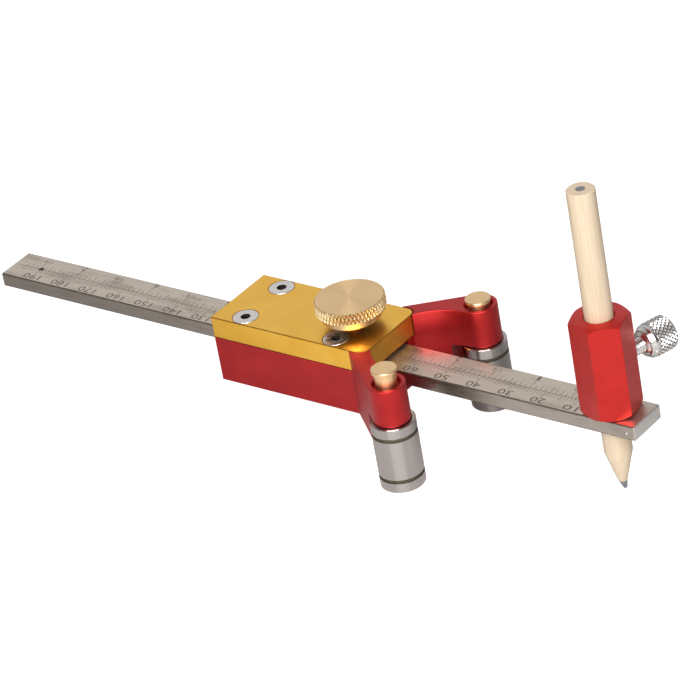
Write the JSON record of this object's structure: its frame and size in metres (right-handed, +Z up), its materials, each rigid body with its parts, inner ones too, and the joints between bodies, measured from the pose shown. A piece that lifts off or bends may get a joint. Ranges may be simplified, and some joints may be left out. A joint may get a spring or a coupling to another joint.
{
  "type": "marking ruler",
  "caption": "Steel ruler with a clamping slider on two ball-bearing rollers and an upright hexagonal pencil holder.",
  "frame": {"origin": "middle of the ruler's end face at the pencil end", "axes": "+X out of that end face along the ruler, +Z up along the pencil, +Y across the ruler to the side that the inch scale is on"},
  "size_m": [0.2101, 0.0536, 0.087],
  "materials": {
    "beam_steel": "brushed along its length, scale marks etched dark",
    "holder_red": "red anodised, satin",
    "block_red": "red anodised, satin",
    "plate_gold": "gold anodised, satin",
    "bright_nickel": "bright nickel plate, diamond knurled head",
    "screw_steel": "bright zinc plate",
    "bearing_steel": "ground and polished",
    "turned_brass": "turned top, knurled rim",
    "pin_brass": "turned",
    "strip_bronze": "rolled strip",
    "cage_resin": "moulded resin cage that holds steel balls",
    "seal_rubber": "moulded",
    "pencil_wood": "bare, sanded",
    "graphite": "fired graphite lead"
  },
  "bodies": {
    "ruler": {"ruler_beam": "beam_steel", "pencil_holder": "holder_red"},
    "slider": {"slider_block": "block_red", "cover_plate": "plate_gold", "cover_screw_1": "screw_steel", "cover_screw_2": "screw_steel", "cover_screw_3": "screw_steel", "cover_screw_4": "screw_steel"},
    "strip": {"pressure_strip": "strip_bronze"},
    "knob": {"lock_knob": "turned_brass"},
    "pencil": {"pencil_wood": "pencil_wood", "pencil_lead": "graphite"},
    "thumb": {"thumb_screw": "bright_nickel"},
    "near_roller": {"roller_sleeve_near": "bearing_steel", "roller_cage_near": "cage_resin", "roller_seal_top_near": "seal_rubber", "roller_seal_bottom_near": "seal_rubber"},
    "near_pin": {"roller_pin_near": "pin_brass"},
    "far_roller": {"roller_sleeve_far": "bearing_steel", "roller_cage_far": "cage_resin", "roller_seal_top_far": "seal_rubber", "roller_seal_bottom_far": "seal_rubber"},
    "far_pin": {"roller_pin_far": "pin_brass"}
  },
  "joints": [
    {"name": "slider_travel", "type": "slide", "parent": "ruler", "child": "slider", "axis": [1, 0, 0], "range_m": [-0.08, 0.052]},
    {"name": "strip_lift", "type": "slide", "parent": "slider", "child": "strip", "axis": [0, 0, 1], "range_m": [0, 0.0006]},
    {"name": "knob_turn", "type": "hinge", "parent": "strip", "child": "knob", "pos_m": [-0.0903, 0, 0.013], "axis": [0, 0, 1], "range_deg": [0, 270]},
    {"name": "pencil_slide", "type": "slide", "parent": "ruler", "child": "pencil", "axis": [0, 0, 1], "range_m": [-0.035, 0.028]},
    {"name": "thumb_turn", "type": "hinge", "parent": "ruler", "child": "thumb", "pos_m": [-0.0103, 0, 0.0151], "axis": [0.3024, 0.9532, 0], "range_deg": [0, 720]},
    {"name": "near_roller_spin", "type": "hinge", "parent": "slider", "child": "near_roller", "pos_m": [-0.0648, -0.0208, -0.0115], "axis": [0, 0, 1], "continuous": true},
    {"name": "near_pin_lift", "type": "slide", "parent": "slider", "child": "near_pin", "axis": [0, 0, 1], "range_m": [-0.0045, 0.0147]},
    {"name": "far_roller_spin", "type": "hinge", "parent": "slider", "child": "far_roller", "pos_m": [-0.0648, 0.0208, -0.0115], "axis": [0, 0, 1], "continuous": true},
    {"name": "far_pin_lift", "type": "slide", "parent": "slider", "child": "far_pin", "axis": [0, 0, 1], "range_m": [-0.0019, 0.0173]}
  ]
}
